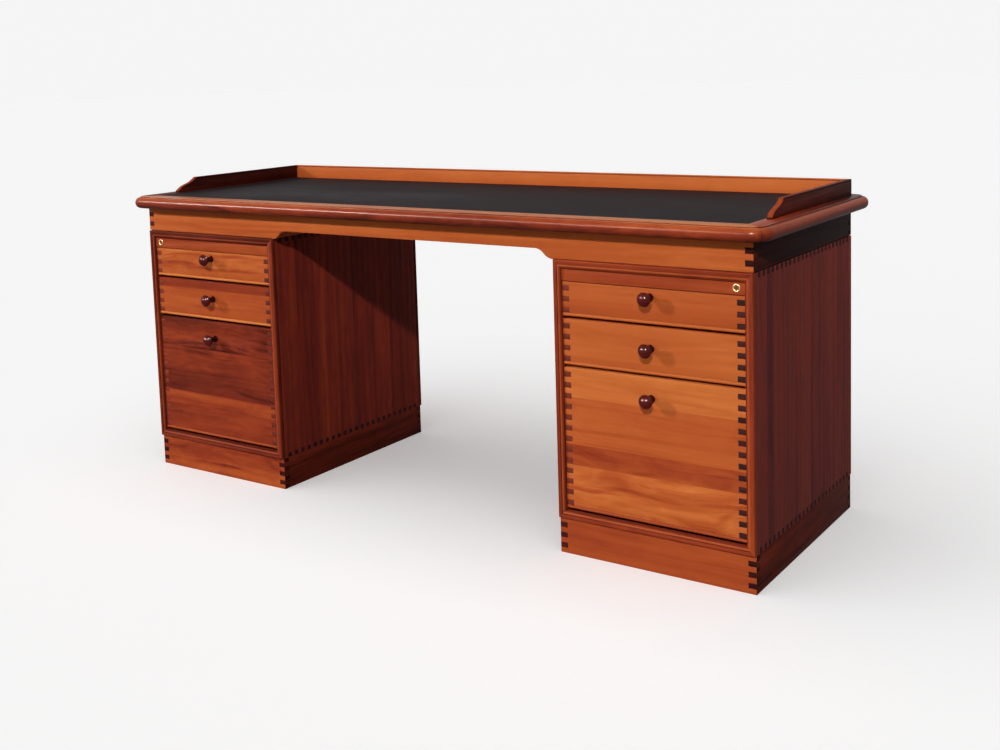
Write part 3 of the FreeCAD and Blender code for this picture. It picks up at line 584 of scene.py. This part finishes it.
def ease_edges(bm):
    """Takes the sharp arrises off with a small round."""
    sharp = [edge for edge in bm.edges
             if len(edge.link_faces) == 2 and edge.calc_face_angle(0) > ARRIS_ANGLE]
    bmesh.ops.bevel(bm, geom=sharp, offset=ARRIS_EASE, offset_type="OFFSET", segments=2,
                    profile=0.5, affect="EDGES", clamp_overlap=True, material=-1)


def record_grain(bm, node, dice, axes, staves, cuts):
    """Writes at each corner its place along, across and through its stave, the stave's tone and
    figure, how much of end grain it is and its painted light and shade."""
    low, high = extent(bm)
    painted_light = bm.loops.layers.float.new("painted_light")
    grain = bm.loops.layers.float_vector.new("grain")
    tone = bm.loops.layers.float.new("tone")
    figure = bm.loops.layers.float.new("figure")
    end = bm.loops.layers.float.new("end")
    along, across, through = axes
    offsets = [Vector([dice.uniform(-LOG_REACH, LOG_REACH) for _ in range(3)]) for _ in staves]
    shown = end_shown(node, (low + high) / 2)
    for face in bm.faces:
        middle = face.calc_center_median()[across]
        index = sum(1 for cut in cuts if middle > cut)
        _, stave_tone, stave_figure = staves[index]
        turned_to_end = min(max((abs(face.normal[along]) - END_START) / END_RISE, 0), 1)
        for loop in face.loops:
            place = loop.vert.co
            loop[grain] = Vector((place[along], place[across], place[through])) + offsets[index]
            loop[tone] = stave_tone
            loop[figure] = stave_figure
            loop[end] = turned_to_end * shown
            loop[painted_light] = painted_light_at(node, place, face.normal, low, high)


def body_of(node):
    for body, members in frame["record"]["behaviour"]["bodies"].items():
        if node in members:
            return body
    raise KeyError(node)


def seat(bm, name, node, finish, smooth):
    """Turns a finished bmesh into the piece that stands for a CAD node."""
    mesh = bpy.data.meshes.new(name)
    bm.to_mesh(mesh)
    bm.free()
    mesh.materials.append(FINISHES[finish])
    mesh.polygons.foreach_set("use_smooth", [True] * len(mesh.polygons))
    mesh.set_sharp_from_angle(angle=smooth)
    piece = bpy.data.objects.new(name, mesh)
    bpy.context.scene.collection.objects.link(piece)
    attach(piece, body_of(node))
    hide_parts(node)


def add_board(whole, bm):
    """Joins a finished board to the others of its piece."""
    board = bpy.data.meshes.new("board")
    bm.to_mesh(board)
    bm.free()
    whole.from_mesh(board)
    bpy.data.meshes.remove(board)


def joinery(node, finish):
    """Dresses every board of a CAD node: staves, eased edges, grain and end grain."""
    dice = random.Random(node)
    whole = bmesh.new()
    whole.loops.layers.float_vector.new("grain")
    for layer in ("tone", "figure", "end", "painted_light"):
        whole.loops.layers.float.new(layer)
    for bm in islands_of(frame["nodes"][node].data):
        low, high = extent(bm)
        axes = board_axes(node, high - low)
        along, across, _ = axes
        width = high[across] - low[across]
        if "drawer_front" in node and high.z - low.z < LIP_HEIGHT:
            staves = lip_stave(node)
        else:
            staves = stave_list(node, dice, width, along)
        cuts = glue_lines(staves, low[across], width)
        split_staves(bm, across, cuts)
        ease_edges(bm)
        bm.normal_update()
        record_grain(bm, node, dice, axes, staves, cuts)
        add_board(whole, bm)
    seat(whole, node + "_joinery", node, finish, BOARD_SMOOTH)


# ---------------------------------------------------------------- knobs and lock rings

TURNING_STEPS = 48
# the points on the axis of a turned piece, and any others this near to each other, are merged
SAME_POINT = 0.005 * MM

# how far the solid of a knob stands in front of its drawer, and how much less the turned one does
KNOB_REACH = 43 * MM
KNOB_SET_BACK = 5 * MM
# the dome and the rim are arcs, drawn at these angles in radians
DOME_RISE = 8.5 * MM
DOME_STEPS = (0.0, 0.12, 0.25, 0.38, 0.52, 0.66, 0.8, 0.94, 1.06, 1.18)
RIM_DEPTH = 2.6 * MM
RIM_STEPS = (0.4, 0.8, 1.2, math.pi / 2)
# millimetres in from the head's radius and behind the end of the dome
UNDER_HEAD = [(0.7, 4.8), (2.6, 6.6), (5.6, 7.9)]
# millimetres from the axis and behind the end of the dome
NECK = [(8.0, 9.2), (7.3, 11.0)]
# millimetres from the axis and in front of the drawer
FOOT = [(7.0, 12), (7.1, 8), (7.5, 5), (8.2, 2.4), (9.0, 0.7), (9.2, 0)]
SPIGOT_RADIUS = 5 * MM
SPIGOT_LENGTH = 14.9 * MM
# where the painted shade behind the head starts, behind the crown, and over what depth it deepens
NECK_SHADE_START = 11 * MM
NECK_SHADE_DEPTH = 9 * MM

# round the bead of a lock's ring, in millimetres from the axis and behind its front
RING_BEAD = [(8.5, 1.5), (8.5, 1.0), (8.3, 0.5), (7.8, 0.15), (7.2, 0.0), (6.5, 0.05), (5.9, 0.4),
             (5.4, 1.0), (5.2, 1.8)]
HOUSING_BORE = 5.2 * MM
HOUSING_RADIUS = 7.4 * MM
RING_BACK = 1.5 * MM


def knob_profile(radius, front, foot_y):
    """Points (distance from the axis, place along Y) from the crown to the spigot of a knob."""
    full_dome = 1 - math.cos(DOME_STEPS[-1])
    crown = [(radius * math.sin(step), front + DOME_RISE * (1 - math.cos(step)) / full_dome)
             for step in DOME_STEPS]
    widest, rim_y = crown[-1]
    rim = [(widest + (radius - widest) * math.sin(turn), rim_y + RIM_DEPTH * (1 - math.cos(turn)))
           for turn in RIM_STEPS]
    under = [(radius - inside * MM, rim_y + behind * MM) for inside, behind in UNDER_HEAD]
    neck = [(across * MM, rim_y + behind * MM) for across, behind in NECK]
    foot = [(across * MM, foot_y - ahead * MM) for across, ahead in FOOT]
    spigot_end = foot_y + SPIGOT_LENGTH
    spigot = [(SPIGOT_RADIUS, foot_y), (SPIGOT_RADIUS, spigot_end), (0.0, spigot_end)]
    return crown + rim + under + neck + foot + spigot


def ring_profile(front, back):
    """Points (distance from the axis, place along Y) once round the wall of a lock's housing."""
    bead = [(across * MM, front + behind * MM) for across, behind in RING_BEAD]
    barrel = [(HOUSING_BORE, back), (HOUSING_RADIUS, back), (HOUSING_RADIUS, front + RING_BACK)]
    return bead + barrel


def turned(profile, low, high, closed=False):
    """Spins a profile round the line along Y through the middle of a node's box."""
    axis_x = (low.x + high.x) / 2
    axis_z = (low.z + high.z) / 2
    bm = bmesh.new()
    verts = [bm.verts.new((axis_x + across, y, axis_z)) for across, y in profile]
    edges = [bm.edges.new(pair) for pair in zip(verts, verts[1:])]
    if closed:
        edges.append(bm.edges.new((verts[-1], verts[0])))
    bmesh.ops.spin(bm, geom=verts + edges, cent=(axis_x, 0, axis_z), axis=(0, 1, 0),
                   angle=2 * math.pi, steps=TURNING_STEPS, use_merge=True)
    bmesh.ops.remove_doubles(bm, verts=bm.verts, dist=SAME_POINT)
    bmesh.ops.recalc_face_normals(bm, faces=bm.faces)
    return bm


def turned_knob(node):
    """Domed head with a rounded rim, hollow neck, flared foot and spigot."""
    low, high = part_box(node)
    front = low.y + KNOB_SET_BACK
    bm = turned(knob_profile((high.x - low.x) / 2, front, low.y + KNOB_REACH), low, high)
    # painted shade behind the head, deepening towards the foot
    painted_light = bm.loops.layers.float.new("painted_light")
    for face in bm.faces:
        for loop in face.loops:
            shaded = (loop.vert.co.y - front - NECK_SHADE_START) / NECK_SHADE_DEPTH
            loop[painted_light] = min(max(shaded, 0.0), 1.0)
    seat(bm, node + "_turned", node, "knob", TURNED_SMOOTH)


def lock_ring(node):
    """Brass housing through the rail, with a rounded ring in front of it."""
    low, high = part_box(node)
    bm = turned(ring_profile(low.y, high.y), low, high, closed=True)
    seat(bm, node + "_ring", node, "brass", TURNED_SMOOTH)


# ---------------------------------------------------------------- dressing every node

# the finish of each board by a word in its node's name, and of what keeps its solid as it is
BOARDS = {
    "top_edge": "edge",
    "gallery": "polished",
    "apron": "polished",
    "frame_side": "polished",
    "drawer_front": "polished",
    "lock_rail": "polished",
    "front_frame": "polished",
    "back_frame": "polished",
    "plinth": "polished",
    "outer_panel": "oiled",
    "inner_panel": "oiled",
    "back_panel": "oiled",
    "carcass_bottom": "oiled",
    "carcass_top": "oiled",
    "drawer_box": "oiled",
}
SOLIDS = {
    "top_core": "inner",
    "cross_rails": "inner",
    "runners": "inner",
    "lock_guides": "inner",
    "leather_inlay": "leather",
    "lock_bar": "steel",
    "lock_plug": "plug",
}


def finish_of(node, finishes):
    return next((finish for word, finish in finishes.items() if word in node), None)


def paint(node, finish):
    materials = frame["nodes"][node].data.materials
    materials.clear()
    materials.append(FINISHES[finish])


def dress(node):
    if node.endswith("_knob"):
        turned_knob(node)
    elif node.endswith("_lock_housing"):
        lock_ring(node)
    elif finish_of(node, BOARDS):
        joinery(node, finish_of(node, BOARDS))
    else:
        paint(node, finish_of(node, SOLIDS))


for node_name in sorted(frame["nodes"]):
    dress(node_name)


# ---------------------------------------------------------------- room, light and camera

# how bright the room is to the camera and to dull surfaces, and the floor's glow to the camera
BACKDROP = 0.915
ROOM = 0.035
FLOOR_GLOW = 0.28
# the share of the backdrop and of the glow that shows in gloss
REFLECTED = 0.5
FLOOR_SIZE = 60
FLOOR_MOTTLE = (0.7, 0.7, 0.7)
# the floor's two colours to the camera, and its colour to dull surfaces and in gloss
FLOOR_PALE = (0.884, 0.887, 0.887, 1.0)
FLOOR_PALER = (0.902, 0.905, 0.905, 1.0)
FLOOR_TO_DULL = (0.32, 0.32, 0.31, 1.0)
FLOOR_IN_GLOSS = grey(0.16)
SHINE_COLOUR = (1.0, 0.80, 0.68)

# metres, radians and millimetres; the shift is a share of the sensor's width
CAMERA_PLACE = (1.83335, -2.5759, 1.08299)
CAMERA_PITCH = -0.106942
CAMERA_ROLL = -0.029894
CAMERA_YAW = 0.595784
SENSOR_WIDTH = 36
LENS_LENGTH = 44.586
LENS_SHIFT = -0.1738
FARTHEST = 200


def rays(g):
    """Sockets that are 1 for a ray of the camera, of gloss or glass, and of a dull surface."""
    path = g.add("ShaderNodeLightPath").outputs
    glossy = g.math("MAXIMUM", path["Is Glossy Ray"], path["Is Transmission Ray"])
    return path["Is Camera Ray"], glossy, path["Is Diffuse Ray"]


def floor():
    """A pale floor with a faint glow, which sends less light back to the desk than it shows."""
    bm = bmesh.new()
    bmesh.ops.create_grid(bm, x_segments=1, y_segments=1, size=FLOOR_SIZE)
    mesh = bpy.data.meshes.new("floor")
    bm.to_mesh(mesh)
    bm.free()
    g = Graph(bpy.data.materials.new("pale floor"))
    seen, glossy, dull = rays(g)
    pale = g.mix(g.noise(g.place(), FLOOR_MOTTLE, detail=1.0), FLOOR_PALE, FLOOR_PALER)
    unseen = g.mix(dull, FLOOR_IN_GLOSS, FLOOR_TO_DULL)
    cover = g.add("ShaderNodeBsdfDiffuse", {"Color": g.mix(seen, unseen, pale)})
    strength = g.math("MULTIPLY_ADD", seen, FLOOR_GLOW, g.times(glossy, FLOOR_GLOW * REFLECTED))
    glow = g.add("ShaderNodeEmission", {"Color": grey(1.0), "Strength": strength})
    both = g.add("ShaderNodeAddShader", {0: cover.outputs[0], 1: glow.outputs[0]})
    g.add("ShaderNodeOutputMaterial", {"Surface": both.outputs[0]})
    mesh.materials.append(g.owner)
    plane = bpy.data.objects.new("floor", mesh)
    bpy.context.scene.collection.objects.link(plane)
    return plane


def room_light():
    """Near white to the camera, dimmer in reflections, and a low even light on the desk."""
    g = Graph(bpy.data.worlds.new("studio"))
    seen, glossy, _ = rays(g)
    share = g.math("MAXIMUM", seen, g.times(glossy, REFLECTED))
    strength = g.span(share, 0.0, 1.0, ROOM, BACKDROP)
    sky = g.add("ShaderNodeBackground", {"Color": grey(1.0), "Strength": strength})
    g.add("ShaderNodeOutputWorld", {"Surface": sky.outputs[0]})
    bpy.context.scene.world = g.owner


def sun(name, towards, strength, softness, glossy=True, diffuse=True):
    """A lamp in the direction towards; one that only makes highlights is warm."""
    lamp = bpy.data.lights.new(name, "SUN")
    lamp.energy = strength
    lamp.angle = math.radians(softness)
    if not diffuse:
        lamp.color = SHINE_COLOUR
    holder = bpy.data.objects.new(name, lamp)
    holder.visible_glossy = glossy
    holder.visible_diffuse = diffuse
    holder.rotation_mode = "QUATERNION"
    holder.rotation_quaternion = Vector(towards).to_track_quat("Z", "Y")
    bpy.context.scene.collection.objects.link(holder)
    return holder


def limit_lamp(lamp, piece, state):
    """Lets a lamp light that one piece only, or all but that piece."""
    group = bpy.data.collections.new(lamp.name + " reach")
    group.objects.link(piece)
    group.collection_objects[0].light_linking.link_state = state
    lamp.light_linking.receiver_collection = group


def lamps(ground):
    """Lamps with their direction, strength and softness in degrees. Only the last one lights the
    floor."""
    front = (0.41, -1.0, 0.68)
    desk_lamps = [
        sun("front light", front, 2.10, 2),
        sun("left light", (-1.4, -1.0, 0.62), 1.5, 4),
        sun("fill light", (-0.1, -1.0, 0.0), 0.50, 40, glossy=False),
        sun("top light", (0.2, 0.3, 1.0), 0.4, 30),
        sun("front shine", front, 6.0, 3, diffuse=False),
        sun("window shine", (-0.68, -0.62, 0.42), 2.6, 4, diffuse=False),
        sun("door shine", (-0.42, -0.80, 0.40), 1.8, 14, diffuse=False),
        sun("back light", (-0.1, 1.0, 0.0), 2.2, 5, glossy=False),
    ]
    for lamp in desk_lamps:
        limit_lamp(lamp, ground, "EXCLUDE")
    limit_lamp(sun("floor light", (-0.15, -0.6, 1.0), 2.5, 110), ground, "INCLUDE")


def camera():
    """Stands to the right of the sitter's place, about 1.1 m up, looking slightly down."""
    forward = Vector((0, math.cos(CAMERA_PITCH), math.sin(CAMERA_PITCH)))
    up = Vector((0, -math.sin(CAMERA_PITCH), math.cos(CAMERA_PITCH)))
    right = Vector((1, 0, 0))
    rolled_right = math.cos(CAMERA_ROLL) * right + math.sin(CAMERA_ROLL) * up
    rolled_up = math.cos(CAMERA_ROLL) * up - math.sin(CAMERA_ROLL) * right
    turn = Matrix.Rotation(CAMERA_YAW, 3, "Z")
    axes = Matrix([turn @ rolled_right, turn @ rolled_up, -(turn @ forward)]).transposed()
    lens = bpy.data.cameras.new("camera")
    lens.sensor_width = SENSOR_WIDTH
    lens.lens = LENS_LENGTH
    lens.shift_y = LENS_SHIFT
    lens.clip_end = FARTHEST
    holder = bpy.data.objects.new("camera", lens)
    holder.matrix_world = Matrix.Translation(CAMERA_PLACE) @ axes.to_4x4()
    bpy.context.scene.collection.objects.link(holder)
    bpy.context.scene.camera = holder


room_floor = floor()
room_light()
lamps(room_floor)
camera()
bpy.context.scene.view_settings.view_transform = "Standard"
